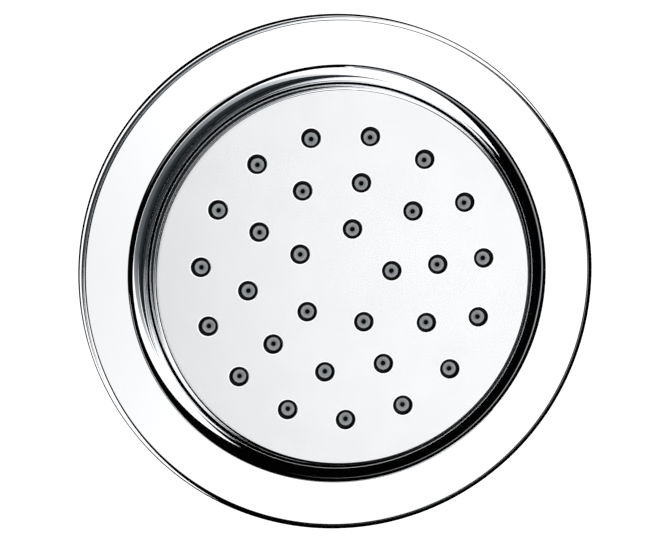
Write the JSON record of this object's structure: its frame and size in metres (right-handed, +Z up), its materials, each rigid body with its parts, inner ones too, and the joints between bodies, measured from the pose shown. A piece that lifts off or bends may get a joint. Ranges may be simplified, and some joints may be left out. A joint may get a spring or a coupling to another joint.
{
  "type": "flush-mount shower head",
  "caption": "Round chromed shower head with a flat trim flange and a raised spray face of grey silicone nozzles that swivels on a ball joint in a recessed wall cup.",
  "frame": {"origin": "centre of the wall screw circle, in the plane of the wall's surface", "axes": "+Y into the wall along the spray axis, -Y out into the room, +Z up"},
  "size_m": [0.13, 0.0588, 0.13],
  "materials": {
    "chrome": "mirror-polished chromed brass",
    "silicone": "soft grey silicone",
    "housing": "moulded black ABS",
    "acetal": "natural acetal",
    "brass": "turned brass",
    "seal": "black EPDM rubber",
    "steel": "stainless steel"
  },
  "bodies": {
    "mount": {"trim_flange": "chrome", "mounting_cup": "housing", "flange_grip_ring": "seal", "wall_seal": "seal", "ball_stem": "brass", "stem_seal": "seal", "flow_regulator": "acetal", "regulator_seal": "seal", "inlet_socket": "brass", "inlet_screen": "steel", "inlet_gasket": "seal", "inlet_lock_nut": "brass"},
    "front_seat": {"ball_packing": "seal"},
    "rear_seat": {"friction_ring": "acetal"},
    "spray_head": {"spray_face": "chrome", "nozzle_mat": "silicone", "head_back": "housing", "head_screws": "steel", "swivel_collar": "acetal"}
  },
  "joints": [
    {"name": "tilt_up_down", "type": "hinge", "parent": "mount", "child": "front_seat", "pos_m": [0, -0.001, 0], "axis": [1, 0, 0], "range_deg": [-7, 7]},
    {"name": "tilt_left_right", "type": "hinge", "parent": "front_seat", "child": "rear_seat", "pos_m": [0, -0.001, 0], "axis": [0, 0, 1], "range_deg": [-7, 7]},
    {"name": "spin", "type": "hinge", "parent": "rear_seat", "child": "spray_head", "pos_m": [0, -0.001, 0], "axis": [0, 1, 0], "continuous": true}
  ]
}
